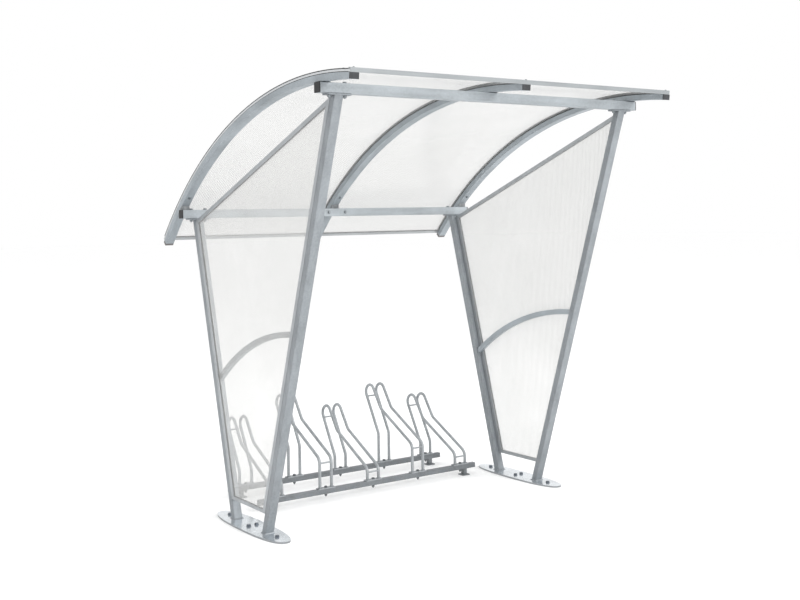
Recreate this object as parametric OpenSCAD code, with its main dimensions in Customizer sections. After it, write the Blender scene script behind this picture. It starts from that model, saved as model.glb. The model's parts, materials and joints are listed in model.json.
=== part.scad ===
// Open-fronted bike shelter: two leaning end frames on foot plates, two beams,
// three curved roof arches with a clear roof, clear side panels and a bike rack.
// X runs along the shelter, the open front looks towards -Y, Z is up.
// The origin is on the floor, at the middle of the overall box.

/* [Shelter] */
// Overall length of the beams
shelter_l = 2100; // [1750:1:2520]
// Floor to the top of the front beam
front_h = 2305; // [2100:1:2770]
// How much lower the rear beam is than the front beam
rear_drop = 583; // [480:1:700]
// From the end of a beam to the middle of its post
end_overhang = 105; // [88:1:160]

/* [Posts] */
// Post tube width along the shelter
post_w = 50; // [40:1:60]
// Post tube depth
post_d = 40; // [30:1:50]
// Front post leans forward by this angle
front_lean = 18.6; // [15:0.1:22]
// Rear post leans back by this angle
rear_lean = 15.35; // [12:0.05:19]
// Front post's middle line at the floor, ahead of the plate's middle
front_foot = 170; // [140:1:230]
// Rear post's middle line at the floor, behind the plate's middle
rear_foot = 184; // [150:1:240]

/* [Foot plates] */
// Foot plate length
plate_l = 752; // [700:1:904]
// Foot plate width
plate_w = 160; // [132:1:192]
// Foot plate thickness
plate_t = 10; // [8:1:15]
// Roundness of the foot plate's outline, 2 is an ellipse
plate_curve = 2.5; // [2:0.1:4]
// Anchor hole radius
anchor_r = 7; // [5:0.5:9]
// End anchor holes, from the plate's middle
anchor_end = 275; // [255:1:300]
// Middle anchor holes, from the plate's middle line
anchor_mid = 24; // [16:1:30]

/* [Beams] */
// Beam tube width and height
beam_w = 50; // [40:1:60]
// Corner radius of the beam and post tubes
corner_r = 4; // [2:0.5:6]
// Cap plate length, along the beam
cap_l = 140; // [116:1:168]
// Cap plate width
cap_w = 54; // [45:1:64]
// Cap plate thickness
cap_t = 8; // [6:1:10]
// Cap plate corner radius
cap_r = 12; // [6:1:20]
// End plug thickness outside the tube
plug_t = 5; // [3:0.5:8]

/* [Roof arches] */
// Radius of an arch's underside
arch_r = 2431; // [2020:1:2920]
// Arch tube width
arch_w = 50; // [40:1:60]
// Arch tube height
arch_h = 30; // [25:1:36]
// From the front beam's middle line to an arch's front end
front_reach = 276; // [230:1:330]
// From the rear beam's middle line to an arch's rear end
rear_reach = 243; // [200:1:290]
// Space for the pad between the front beam and an arch
pad_gap = 3; // [2.5:0.1:5]
// Rear saddle wedge length
saddle_l = 24; // [18:1:30]
// Rear plug head thickness
head_t = 20; // [12:1:24]
// Bevel of the rear plug head
head_bevel = 5; // [2:0.5:7]

/* [Roof covering] */
// Gasket thickness
gasket_t = 3; // [2:0.5:4]
// Roof sheet thickness
sheet_t = 10; // [6:1:12]
// Cover bar thickness
cover_t = 4; // [3:0.5:6]
// Gap between the two roof sheets
sheet_split = 4; // [2:1:10]
// How far a sheet stays inside its arch's outer face
sheet_inset = 2; // [1:1:6]
// Front edge trim height
front_trim_h = 22; // [18:1:28]
// Front edge trim depth
front_trim_d = 16; // [14:1:24]
// Rear edge trim height
rear_trim_h = 14; // [13:1:20]
// Rear edge trim depth
rear_trim_d = 20; // [14:1:28]
// Wall of the edge trims
trim_wall = 1.6; // [1:0.1:2]

/* [Side panels] */
// Side panel thickness
panel_t = 10; // [6:1:12]
// Edge channel width
channel_w = 16; // [14.5:0.5:20]
// Edge channel depth along the posts
channel_d = 26; // [20:1:32]
// Edge channel web thickness
channel_web = 3; // [2:0.5:4]
// Top trim height
top_trim_h = 22; // [18:1:28]
// Bottom trim height
bottom_trim_h = 18; // [14:1:24]
// Underside of the bottom trim above the floor
panel_lift = 118; // [90:1:200]
// Top trim's ends below the tops of the posts
panel_drop = 6; // [3:1:12]

/* [Curved rails] */
// Curved rail width
rail_w = 25; // [20:1:30]
// Curved rail height
rail_h = 30; // [24:1:36]
// Curved rail's middle radius
rail_r = 1450; // [1210:1:1740]
// Height of the curved rail's middle line at the front post
rail_z = 1078; // [900:1:1290]

/* [Bike rack] */
// Rack rail width and height
rack_w = 30; // [25:1:36]
// Middle of the rack rails above the floor
rack_z = 55; // [46:1:66]
// Front rack rail's middle line behind the plate's middle
rack_front = 247; // [210:1:290]
// Distance between the rack rails
rack_gap = 375; // [330:1:450]
// From a post's inner face to the end of a rack rail
rack_end = 140; // [100:1:180]
// From the end of a rack rail to the first wheel holder
holder_end = 112; // [94:1:134]
// Width of a wheel slot between its two hoops
hoop_pitch = 80; // [67:1:96]
// Hoop tube diameter
hoop_d = 18; // [15:0.5:20]
// Height difference between low and high wheel holders
hoop_step = 100; // [84:1:120]
// Height of a low hoop's front bend above the rail
bend_rise = 76; // [64:1:92]
// Slope of the hoop above its front bend
hoop_slope = 27.3; // [23:0.1:32]
// From the hoop's front leg back to the foot of its steep head
knee_run = 343; // [310:1:370]
// Slope of the hoop's steep head
hoop_head = 55; // [50:0.5:60]
// Slope of the hoop's rear side below the top turn
hoop_rear = 60; // [56:0.5:64]
// Length of the steep head below the top turn
head_run = 147; // [123:1:176]
// Radius of the hoop's top turn
top_r = 45; // [38:1:52]
// Radius of the hoop's other bends
bend_r = 50; // [40:1:58]
// Saddle plate length
saddle_x = 114; // [100:1:130]
// Saddle plate width
saddle_y = 34; // [28:1:40]
// Saddle plate thickness
saddle_t = 6; // [5:0.5:8]
// Cross tie diameter
tie_d = 10; // [8:0.5:12]
// From the end of a rack rail to the middle of its foot
foot_inset = 80; // [67:1:84]
// Rack foot base size
foot_base = 56; // [47:1:67]
// Rack foot base corner radius
foot_r = 6; // [3:1:12]
// Rack foot base thickness
foot_t = 6; // [5:1:8]

/* [Fits] */
// Clearance between pieces that are seated on each other
seat = 0.3; // [0.1:0.1:0.6]

/* [Hidden] */

$fn = 96;
OUTLINE_POINTS = 72;
HOLDER_COUNT = 5;
SLEEVE_L = 2;
SLEEVE_EXTRA = 0.1;
HOOP_FN = 48;
ARC_FN = 360;
ROOF_FN = 1440;
FAR = 8000;
CUT = 1;
// Place of a holder's upper tie, as a share of the hoop's rear side from its top
TIE_AT = 0.16;

STEEL = [0.66, 0.69, 0.72];
PLATE_STEEL = [0.76, 0.78, 0.80];
RACK_STEEL = [0.52, 0.54, 0.56];
ALUMINIUM = [0.78, 0.80, 0.81];
CLEAR_SHEET = [0.93, 0.94, 0.95];
BLACK_PLASTIC = [0.16, 0.17, 0.18];

// Tops of beams and posts
rear_h = front_h - rear_drop;
front_top = front_h - beam_w - cap_t;
rear_top = rear_h - beam_w - cap_t;

// Middle lines of the posts and the beams, from the plate's middle
function front_y(z) = -front_foot - z * tan(front_lean);
function rear_y(z) = rear_foot + z * tan(rear_lean);
frame_x = shelter_l / 2 - end_overhang;
front_beam_y = front_y(front_top);
rear_beam_y = rear_y(rear_top);
front_half = post_d / 2 / cos(front_lean);
rear_half = post_d / 2 / cos(rear_lean);

// The arch's underside goes through these two points: over the pad on the front
// beam, and just past the top rear corner of the rear beam
arch_p1 = [front_beam_y, front_h + pad_gap];
arch_p2 = [rear_beam_y + beam_w / 2 + seat, rear_h + seat];
arch_chord = arch_p2 - arch_p1;
arch_sag = sqrt(arch_r * arch_r - arch_chord * arch_chord / 4);
arch_c = (arch_p1 + arch_p2) / 2 + arch_sag * [arch_chord[1], -arch_chord[0]] / norm(arch_chord);
arch_mid = arch_r + arch_h / 2;
arch_x = shelter_l / 2 - arch_w / 2;
front_angle = asin((front_beam_y - front_reach - arch_c[0]) / arch_mid);
rear_angle = asin((rear_beam_y + rear_reach - arch_c[0]) / arch_mid);

// Radii of the layers on an arch
gasket_r = arch_r + arch_h + seat;
sheet_r = gasket_r + gasket_t + seat;
cover_r = sheet_r + sheet_t + seat;

// Edge trims: how far they stand past the ends of the arches
front_trim_r = arch_r + arch_h + seat;
front_trim_out = 4;
rear_trim_r = sheet_r + sheet_t / 2 - rear_trim_h / 2;
rear_trim_out = 2.4;
trim_slot = sheet_t + 2 * seat;

// The middle of the overall box, from the plate's middle
y_low = arch_c[0] + (front_trim_r + front_trim_h) * sin(front_angle) - front_trim_out * cos(front_angle);
y_high = arch_c[0] + (rear_trim_r + rear_trim_h) * sin(rear_angle) + rear_trim_out * cos(rear_angle);
y_mid = (y_low + y_high) / 2;

// Side panel plane and the lines that bound it, each [point, direction] in Y and Z
panel_x = frame_x + post_w / 2 - channel_w / 2;
rear_line = [[rear_y(0) - rear_half, 0], [sin(rear_lean), cos(rear_lean)]];
front_line = [[front_y(0) + front_half, 0], [-sin(front_lean), cos(front_lean)]];
bottom_line = [[0, panel_lift], [1, 0]];
top_rear = [rear_y(rear_top - panel_drop) - rear_half, rear_top - panel_drop];
top_front = [front_y(front_top - panel_drop) + front_half, front_top - panel_drop];
top_line = [top_rear, (top_front - top_rear) / norm(top_front - top_rear)];
slot_w = panel_t + 2 * seat;
panel_inset = channel_web + CUT;

// Curved rail circle, level where it meets the front post's middle line
rail_c = [front_y(rail_z), rail_z - rail_r];
rail_x = panel_x - channel_w / 2 - 2 * seat - rail_w / 2;

// Rack
rack_half = frame_x - post_w / 2 - rack_end;
rack_rear = rack_front + rack_gap;
rail_top = rack_z + rack_w / 2;
holder_half = rack_half - holder_end;
holder_pitch = 2 * holder_half / (HOLDER_COUNT - 1);
function holder_x(i) = -holder_half + i * holder_pitch;
function holder_rise(i) = i % 2 == 1 ? hoop_step : 0;

// Distance of a line moved sideways: positive is to the left of its direction
function moved(l, d) = [l[0] + d * [-l[1][1], l[1][0]], l[1]];
function cross2(a, b) = a[0] * b[1] - a[1] * b[0];
function meet(a, b) = a[0] + a[1] * cross2(b[0] - a[0], b[1]) / cross2(a[1], b[1]);
// The four sides of the side panel, moved inwards by d
function rear_in(d) = moved(rear_line, d);
function front_in(d) = moved(front_line, -d);
function bottom_in(d) = moved(bottom_line, d);
function top_in(d) = moved(top_line, d);

// Middle line of a hoop in Y and Z, from its front foot over the top to its rear foot.
// The top turn has no straight part, so its two corners lie as far apart as their bends
// reach.
function hoop_path(rise) =
    let (foot_z = rail_top + saddle_t / 2,
         bend_z = rail_top + bend_rise + rise,
         up = [cos(hoop_head), sin(hoop_head)],
         side = [sin(hoop_head), -cos(hoop_head)],
         top_w = top_r + top_r * tan((90 + hoop_rear - hoop_head) / 2),
         knee = [rack_front + knee_run, bend_z + knee_run * tan(hoop_slope)],
         top_a = knee + (head_run + top_r) * up,
         top_b = top_a + top_w * side,
         low = [rack_rear, top_b[1] - (top_b[0] - rack_rear) * tan(hoop_rear)])
    [[rack_front, foot_z], [rack_front, bend_z], knee, top_a, top_b, low, [rack_rear, foot_z]];
hoop_radii = [0, bend_r, bend_r, top_r, top_r, bend_r, 0];

// Extrudes a drawing of Y and Z along X, centred on x
module along_x(x, w) {
    translate([x - w / 2, 0, 0])
        rotate([90, 0, 90])
            linear_extrude(w)
                children();
}

// Rectangle with round corners, centred
module round_rect(a, b, r) {
    square([a - 2 * r, b], center = true);
    square([a, b - 2 * r], center = true);
    for (i = [-1, 1], j = [-1, 1])
        translate([i * (a / 2 - r), j * (b / 2 - r)])
            circle(r);
}

// Square tube along X
module beam_tube(half_l, y, z, w, r) {
    translate([0, y, z])
        along_x(0, 2 * half_l)
            round_rect(w, w, r);
}

// Pie slice of the roof circle between two angles from the vertical
module wedge(a1, a2) {
    mid = (a1 + a2) / 2;
    polygon([[0, 0], FAR * [sin(a1), cos(a1)], 2 * FAR * [sin(mid), cos(mid)], FAR * [sin(a2), cos(a2)]]);
}

// Bent bar of the roof circle, centred on x, between two radii and two angles
module roof_layer(x, w, r, t, a1, a2) {
    along_x(x, w)
        translate(arch_c)
            intersection() {
                difference() {
                    circle(r + t, $fn = ARC_FN);
                    circle(r, $fn = ARC_FN);
                }
                wedge(a1, a2);
            }
}

// Puts a drawing at an arch's end: its first axis points out of the end, its second
// away from the roof's centre; out is -1 at the front and 1 at the rear
module at_arch_end(angle, out) {
    translate(arch_c)
        rotate(-angle)
            mirror([out < 0 ? 1 : 0, 0])
                children();
}

// U profile that holds the end of the roof sheets
module edge_trim(r, h, d, out) {
    difference() {
        translate([out - d, r])
            square([d, h]);
        translate([-d - out, sheet_r - seat])
            square([d + 2 * out - trim_wall, trim_slot]);
    }
}

// A leaning post between its foot plate and its cap plate
module post(x, foot_y, lean, top_z) {
    intersection() {
        translate([x, foot_y, 0])
            rotate([-lean, 0, 0])
                translate([0, 0, -post_d])
                    linear_extrude(2 * top_z)
                        round_rect(post_w, post_d, corner_r);
        translate([x - post_w, -FAR / 2, plate_t])
            cube([2 * post_w, FAR, top_z - plate_t]);
    }
}

// Outline of the foot plate
module plate_outline() {
    power = 2 / plate_curve;
    polygon([for (i = [0:OUTLINE_POINTS - 1])
        let (a = 360 * i / OUTLINE_POINTS)
        [plate_w / 2 * sign(cos(a)) * pow(abs(cos(a)), power),
         plate_l / 2 * sign(sin(a)) * pow(abs(sin(a)), power)]]);
}

module foot_plate(x) {
    color(PLATE_STEEL)
        translate([x, 0, 0])
            difference() {
                linear_extrude(plate_t)
                    plate_outline();
                for (y = [-anchor_end, anchor_end])
                    translate([0, y, -CUT])
                        cylinder(r = anchor_r, h = plate_t + 2 * CUT);
                for (side = [-1, 1])
                    translate([side * anchor_mid, 0, -CUT])
                        cylinder(r = anchor_r, h = plate_t + 2 * CUT);
            }
}

module front_post(side) {
    color(STEEL)
        post(side * frame_x, front_y(0), -front_lean, front_top);
}

module rear_post(side) {
    color(STEEL)
        post(side * frame_x, rear_y(0), rear_lean, rear_top);
}

module cap_plate(side, y, z) {
    color(STEEL)
        translate([side * frame_x, y, z])
            linear_extrude(cap_t)
                round_rect(cap_l, cap_w, cap_r);
}

module front_beam() {
    color(STEEL)
        beam_tube(shelter_l / 2, front_beam_y, front_h - beam_w / 2, beam_w, corner_r);
}

module rear_beam() {
    color(STEEL)
        beam_tube(shelter_l / 2, rear_beam_y, rear_h - beam_w / 2, beam_w, corner_r);
}

module beam_plugs() {
    color(BLACK_PLASTIC)
        for (side = [-1, 1], at = [[front_beam_y, front_h], [rear_beam_y, rear_h]])
            translate([side * (shelter_l / 2 + plug_t / 2), at[0], at[1] - beam_w / 2])
                along_x(0, plug_t)
                    round_rect(beam_w, beam_w, corner_r);
}

module roof_arch(x) {
    color(STEEL)
        roof_layer(x, arch_w, arch_r, arch_h, front_angle, rear_angle);
}

// Front plug is flat, rear plug has a bevelled head
module arch_plugs() {
    color(BLACK_PLASTIC)
        for (x = [-arch_x, 0, arch_x]) {
            along_x(x, arch_w)
                at_arch_end(front_angle, -1)
                    translate([0, arch_r])
                        square([plug_t, arch_h]);
            intersection() {
                along_x(x, arch_w)
                    at_arch_end(rear_angle, 1)
                        translate([0, arch_r])
                            bevel_head(arch_h);
                translate([x, arch_c[0], arch_c[1]])
                    rotate([-rear_angle, 0, 0])
                        translate([0, 0, arch_r])
                            linear_extrude(arch_h)
                                rotate(90)
                                    translate([0, -arch_w / 2])
                                        bevel_head(arch_w);
            }
        }
}

// Outline of the bevelled head, standing out along the first axis
module bevel_head(w) {
    polygon([[0, 0], [head_t - head_bevel, 0], [head_t, head_bevel],
             [head_t, w - head_bevel], [head_t - head_bevel, w], [0, w]]);
}

// Pads on the front beam and wedges on the rear beam, cut to the arches' undersides
module arch_pads() {
    color(BLACK_PLASTIC)
        for (x = [-arch_x, 0, arch_x]) {
            arch_pad(x, front_beam_y - beam_w / 2 + corner_r, front_h, beam_w - 2 * corner_r, 2 * pad_gap);
            arch_pad(x, rear_beam_y + beam_w / 2 - corner_r - saddle_l, rear_h, saddle_l, 2 * saddle_l);
        }
}

module arch_pad(x, y, z, l, h) {
    intersection() {
        translate([x - arch_w / 2, y, z])
            cube([arch_w, l, h]);
        translate([x, arch_c[0], arch_c[1]])
            rotate([0, 90, 0])
                cylinder(r = arch_r - seat, h = 2 * arch_w, center = true, $fn = ROOF_FN);
    }
}

// Angle of a length along the roof sheets
function roof_angle(l) = l / sheet_r * 180 / PI;

module roof_gaskets() {
    color(BLACK_PLASTIC)
        for (x = [-arch_x, 0, arch_x])
            roof_layer(x, arch_w - 2 * sheet_inset, gasket_r, gasket_t,
                front_angle + roof_angle(front_trim_d), rear_angle - roof_angle(rear_trim_d));
}

module roof_sheet(side) {
    w = shelter_l / 2 - sheet_inset - sheet_split / 2;
    color(CLEAR_SHEET)
        roof_layer(side * (sheet_split / 2 + w / 2), w, sheet_r, sheet_t,
            front_angle + roof_angle(seat), rear_angle - roof_angle(seat));
}

module cover_bar(x) {
    color(BLACK_PLASTIC)
        roof_layer(x, arch_w, cover_r, cover_t,
            front_angle + roof_angle(front_trim_d), rear_angle - roof_angle(rear_trim_d));
}

module front_edge_trim() {
    color(ALUMINIUM)
        along_x(0, shelter_l - 2 * sheet_inset)
            at_arch_end(front_angle, -1)
                edge_trim(front_trim_r, front_trim_h, front_trim_d, front_trim_out);
}

module rear_edge_trim() {
    color(ALUMINIUM)
        along_x(0, shelter_l - 2 * sheet_inset)
            at_arch_end(rear_angle, 1)
                edge_trim(rear_trim_r, rear_trim_h, rear_trim_d, rear_trim_out);
}

// Piece of a side panel's frame between an outer and an inner outline, with a slot
module panel_strip(side) {
    difference() {
        along_x(side * panel_x, channel_w)
            children(0);
        along_x(side * panel_x, slot_w)
            children(1);
    }
}

module side_panel(side) {
    color(CLEAR_SHEET)
        along_x(side * panel_x, panel_t)
            polygon([meet(rear_in(panel_inset), bottom_in(panel_inset)),
                     meet(front_in(panel_inset), bottom_in(panel_inset)),
                     meet(front_in(panel_inset), top_in(panel_inset)),
                     meet(rear_in(panel_inset), top_in(panel_inset))]);
}

// Outline between the posts, from one line of the panel to another
module between_posts(low, high) {
    polygon([meet(rear_in(seat), low), meet(front_in(seat), low),
             meet(front_in(seat), high), meet(rear_in(seat), high)]);
}

module panel_top_trim(side) {
    color(ALUMINIUM)
        panel_strip(side) {
            between_posts(top_in(top_trim_h), top_in(0));
            between_posts(top_in(2 * top_trim_h), top_in(channel_web));
        }
}

module panel_bottom_trim(side) {
    color(ALUMINIUM)
        panel_strip(side) {
            between_posts(bottom_in(0), bottom_in(bottom_trim_h));
            between_posts(bottom_in(channel_web), bottom_in(2 * bottom_trim_h));
        }
}

// Channels along the front and rear posts, between the two trims
module panel_channels(side) {
    low = bottom_in(bottom_trim_h + seat);
    high = top_in(top_trim_h + seat);
    color(ALUMINIUM) {
        panel_strip(side) {
            polygon([meet(rear_in(seat), low), meet(rear_in(channel_d), low),
                     meet(rear_in(channel_d), high), meet(rear_in(seat), high)]);
            polygon([meet(rear_in(channel_web), bottom_in(0)), meet(rear_in(2 * channel_d), bottom_in(0)),
                     meet(rear_in(2 * channel_d), top_in(0)), meet(rear_in(channel_web), top_in(0))]);
        }
        panel_strip(side) {
            polygon([meet(front_in(seat), low), meet(front_in(channel_d), low),
                     meet(front_in(channel_d), high), meet(front_in(seat), high)]);
            polygon([meet(front_in(channel_web), bottom_in(0)), meet(front_in(2 * channel_d), bottom_in(0)),
                     meet(front_in(2 * channel_d), top_in(0)), meet(front_in(channel_web), top_in(0))]);
        }
    }
}

// Curved bar between the posts of an end frame, inside the panel
module curved_rail(side) {
    color(STEEL)
        along_x(side * rail_x, rail_w)
            intersection() {
                translate(rail_c)
                    difference() {
                        circle(rail_r + rail_h / 2, $fn = ARC_FN);
                        circle(rail_r - rail_h / 2, $fn = ARC_FN);
                    }
                between_posts(bottom_in(0), top_in(0));
            }
}

module rack_rail(y) {
    color(RACK_STEEL)
        beam_tube(rack_half, y, rack_z, rack_w, corner_r / 2);
}

// Feet under the ends of the rack rails
module rack_feet() {
    stub_h = rack_z - rack_w / 2;
    color(RACK_STEEL)
        for (side = [-1, 1], y = [rack_front, rack_rear])
            translate([side * (rack_half - foot_inset), y, 0]) {
                linear_extrude(foot_t)
                    round_rect(foot_base, foot_base, foot_r);
                linear_extrude(stub_h)
                    square(rack_w - corner_r, center = true);
            }
}

function unit(v) = v / norm(v);
// Distance from a corner of a path to where its round bend starts
function bend_cut(p, r, i) =
    i == 0 || i == len(p) - 1 ? 0
    : r[i] * tan(acos(min(1, max(-1, unit(p[i] - p[i - 1]) * unit(p[i + 1] - p[i])))) / 2);

// Puts a round bar's piece at a point of Y and Z, along a direction
module bar_piece(at, dir, d, length) {
    translate([0, at[0], at[1]])
        rotate([-atan2(dir[0], dir[1]), 0, 0])
            cylinder(d = d, h = length);
}

// Round bar along a path of Y and Z points with a bend radius at each corner. A
// hair-thin sleeve closes each joint between a straight and a bend.
module bent_bar(p, r, d) {
    for (i = [0:len(p) - 2]) {
        dir = unit(p[i + 1] - p[i]);
        cut_a = bend_cut(p, r, i);
        cut_b = bend_cut(p, r, i + 1);
        length = norm(p[i + 1] - p[i]) - cut_a - cut_b;
        start = p[i] + cut_a * dir;
        if (length > SLEEVE_L)
            bar_piece(start, dir, d, length);
        if (cut_a > 0)
            bar_piece(start - dir * SLEEVE_L / 2, dir, d + SLEEVE_EXTRA, SLEEVE_L);
        if (cut_b > 0 && length > SLEEVE_L)
            bar_piece(start + dir * (length - SLEEVE_L / 2), dir, d + SLEEVE_EXTRA, SLEEVE_L);
    }
    for (i = [1:len(p) - 2]) {
        in = unit(p[i] - p[i - 1]);
        out = unit(p[i + 1] - p[i]);
        turn = sign(cross2(in, out));
        centre = p[i] - bend_cut(p, r, i) * in + turn * r[i] * [-in[1], in[0]];
        start = turn > 0 ? [in[1], -in[0]] : [-out[1], out[0]];
        translate([0, centre[0], centre[1]])
            rotate([90, 0, 90])
                rotate(atan2(start[1], start[0]))
                    rotate_extrude(angle = acos(in * out))
                        translate([r[i], 0])
                            circle(d = d);
    }
}

module wheel_holder(i) {
    rise = holder_rise(i);
    path = hoop_path(rise);
    tie_front = [rack_front, rail_top + bend_rise + rise - bend_r / 2];
    tie_rear = path[4] + (path[5] - path[4]) * TIE_AT;
    color(RACK_STEEL)
        translate([holder_x(i), 0, 0]) {
            for (side = [-1, 1])
                translate([side * hoop_pitch / 2, 0, 0])
                    bent_bar(path, hoop_radii, hoop_d, $fn = HOOP_FN);
            for (y = [rack_front, rack_rear])
                translate([-saddle_x / 2, y - saddle_y / 2, rail_top])
                    cube([saddle_x, saddle_y, saddle_t]);
            for (at = [tie_front, tie_rear])
                translate([0, at[0], at[1]])
                    rotate([0, 90, 0])
                        cylinder(d = tie_d, h = hoop_pitch, center = true);
        }
}

// Moves a piece from the plate's frame to the shelter's frame
module placed() {
    translate([0, -y_mid, 0])
        children();
}

placed() foot_plate(-frame_x);  // foot_plate_left
placed() foot_plate(frame_x);  // foot_plate_right
placed() rear_post(-1);  // rear_post_left
placed() rear_post(1);  // rear_post_right
placed() front_post(-1);  // front_post_left
placed() front_post(1);  // front_post_right
placed() cap_plate(-1, front_beam_y, front_top);  // cap_plate_front_left
placed() cap_plate(1, front_beam_y, front_top);  // cap_plate_front_right
placed() cap_plate(-1, rear_beam_y, rear_top);  // cap_plate_rear_left
placed() cap_plate(1, rear_beam_y, rear_top);  // cap_plate_rear_right
placed() front_beam();
placed() rear_beam();
placed() beam_plugs();
placed() roof_arch(-arch_x);  // roof_arch_left
placed() roof_arch(0);  // roof_arch_middle
placed() roof_arch(arch_x);  // roof_arch_right
placed() arch_plugs();
placed() arch_pads();
placed() roof_gaskets();
placed() roof_sheet(-1);  // roof_sheet_left
placed() roof_sheet(1);  // roof_sheet_right
placed() cover_bar(-arch_x);  // cover_bar_left
placed() cover_bar(0);  // cover_bar_middle
placed() cover_bar(arch_x);  // cover_bar_right
placed() front_edge_trim();
placed() rear_edge_trim();
placed() side_panel(-1);  // side_panel_left
placed() side_panel(1);  // side_panel_right
placed() panel_top_trim(-1);  // panel_top_trim_left
placed() panel_top_trim(1);  // panel_top_trim_right
placed() panel_bottom_trim(-1);  // panel_bottom_trim_left
placed() panel_bottom_trim(1);  // panel_bottom_trim_right
placed() panel_channels(-1);  // panel_channels_left
placed() panel_channels(1);  // panel_channels_right
placed() curved_rail(-1);  // curved_rail_left
placed() curved_rail(1);  // curved_rail_right
placed() rack_rail(rack_front);  // rack_front_rail
placed() rack_rail(rack_rear);  // rack_rear_rail
placed() rack_feet();
placed() wheel_holder(0);  // wheel_holder_1
placed() wheel_holder(1);  // wheel_holder_2
placed() wheel_holder(2);  // wheel_holder_3
placed() wheel_holder(3);  // wheel_holder_4
placed() wheel_holder(4);  // wheel_holder_5
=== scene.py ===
"""Bike shelter: materials, fixings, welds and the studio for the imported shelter.

Every size and place comes from the frame, in metres. Run as a script; it is laid out as an
add-on so that each group of pieces is an operator with its own button.
"""
import json
import math

import bmesh
import bpy
from bpy.props import FloatProperty, PointerProperty, StringProperty
from mathutils import Matrix, Vector


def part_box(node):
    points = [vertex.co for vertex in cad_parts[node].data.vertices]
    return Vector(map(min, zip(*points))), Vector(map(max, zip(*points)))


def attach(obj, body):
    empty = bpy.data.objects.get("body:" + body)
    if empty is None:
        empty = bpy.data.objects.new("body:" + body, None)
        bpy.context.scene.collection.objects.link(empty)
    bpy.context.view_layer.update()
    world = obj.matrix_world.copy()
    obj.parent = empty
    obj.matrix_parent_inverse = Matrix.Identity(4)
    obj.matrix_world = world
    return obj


bl_info = {
    "name": "Bike shelter",
    "version": (1, 0, 0),
    "blender": (4, 5, 0),
    "location": "View3D > Sidebar > Shelter",
    "description": "Finishes and small fixings of an open-fronted bike shelter",
    "category": "Object",
}

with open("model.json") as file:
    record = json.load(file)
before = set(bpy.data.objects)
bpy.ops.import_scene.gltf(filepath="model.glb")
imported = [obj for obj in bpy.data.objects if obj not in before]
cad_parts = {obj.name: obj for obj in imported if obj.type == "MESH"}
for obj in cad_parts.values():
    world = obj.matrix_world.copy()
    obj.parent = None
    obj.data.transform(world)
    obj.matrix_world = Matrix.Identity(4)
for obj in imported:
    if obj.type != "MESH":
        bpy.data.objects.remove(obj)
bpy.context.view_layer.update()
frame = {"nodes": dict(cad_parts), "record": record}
NODES = frame["nodes"]
SIDES = ("left", "right")
MM = 0.001


def box_of(node):
    """Lowest corner, highest corner and middle of a CAD node."""
    low, high = (Vector(corner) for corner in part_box(node))
    return low, high, (low + high) / 2


# ---------------------------------------------------------------- sizes and colours


class ShelterSizes(bpy.types.PropertyGroup):
    """Sizes of the fixings that are added to the frame."""

    bolt_d: FloatProperty(
        name="Bolt", description="Thread diameter of the frame's bolts",
        default=10 * MM, unit="LENGTH")
    anchor_d: FloatProperty(
        name="Anchor bolt", description="Thread diameter of the anchor bolts",
        default=12 * MM, unit="LENGTH")
    screw_d: FloatProperty(
        name="Trim screw", description="Thread diameter of the screws in the trims",
        default=5 * MM, unit="LENGTH")
    weld: FloatProperty(
        name="Weld", description="Leg of the weld beads round posts and rails",
        default=5 * MM, unit="LENGTH")
    flute: FloatProperty(
        name="Flute", description="Distance between the inner webs of the clear sheets",
        default=11 * MM, unit="LENGTH")


class ShelterColours(bpy.types.PropertyGroup):
    """Colours as sRGB hex values."""

    zinc: StringProperty(
        name="Zinc", description="Galvanised beams, and the bolts on them", default="#A5ABAF")
    # Painted shade: a darker copy of the beams' zinc for the posts, cap plates and post welds
    shaded_post_zinc: StringProperty(
        name="Post zinc", description="Duller galvanised posts and cap plates", default="#8D9296")
    # Painted shade: the arches and curved rails get a slightly darker copy of the beams' zinc
    shaded_arch_zinc: StringProperty(
        name="Arch zinc", description="Galvanised arches and curved rails", default="#9EA5AA")
    zinc_plate: StringProperty(
        name="Foot plate zinc", description="Galvanised foot plates", default="#DFE4E8")
    zinc_rack: StringProperty(
        name="Rack zinc", description="Galvanised rails and feet of the bike rack",
        default="#797D80")
    # Painted light: the wheel holders get a lighter copy of the rack's zinc, to offset the shade
    # on their thin tubes
    lit_hoop_zinc: StringProperty(
        name="Hoop zinc", description="Galvanised wheel holders", default="#9FA3A6")
    # Painted shade and painted light: the front trim gets a darker and the rear trim a lighter
    # copy of one aluminium
    shaded_front_profile: StringProperty(
        name="Front profile", description="Aluminium front trim of the roof", default="#94989A")
    lit_rear_profile: StringProperty(
        name="Rear profile", description="Aluminium rear trim of the roof", default="#ADB0B2")
    wall_profile: StringProperty(
        name="Wall profile", description="Aluminium frame of the side panels", default="#A6AAAD")
    sheet: StringProperty(
        name="Clear sheet", description="Multiwall polycarbonate", default="#DCDCDA")
    tape: StringProperty(
        name="Sheet tape", description="Aluminium tape on the cut edges of the roof",
        default="#C4C7C9")
    anchor: StringProperty(
        name="Anchor bolt", description="Weathered zinc of the anchor bolts", default="#7E858D")
    plug: StringProperty(
        name="Plug", description="Black plastic end plugs of the arches", default="#2B2D30")
    beam_plug: StringProperty(
        name="Beam plug", description="Black plastic end plugs of the beams", default="#141517")
    rear_plug: StringProperty(
        name="Rear plug", description="Weathered plastic of the rear arch plugs",
        default="#6D6B6A")
    rubber: StringProperty(
        name="Rubber", description="Gaskets, pads and cover bars", default="#1F2022")
    rear_pad: StringProperty(
        name="Rear pad", description="Grey wedges under the arches' rear ends", default="#85888A")
    foam: StringProperty(
        name="Foam", description="Pale foam strip under the cover bars", default="#B2B5B7")
    floor: StringProperty(
        name="Floor", description="Studio floor", default="#FFFFFF")


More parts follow.
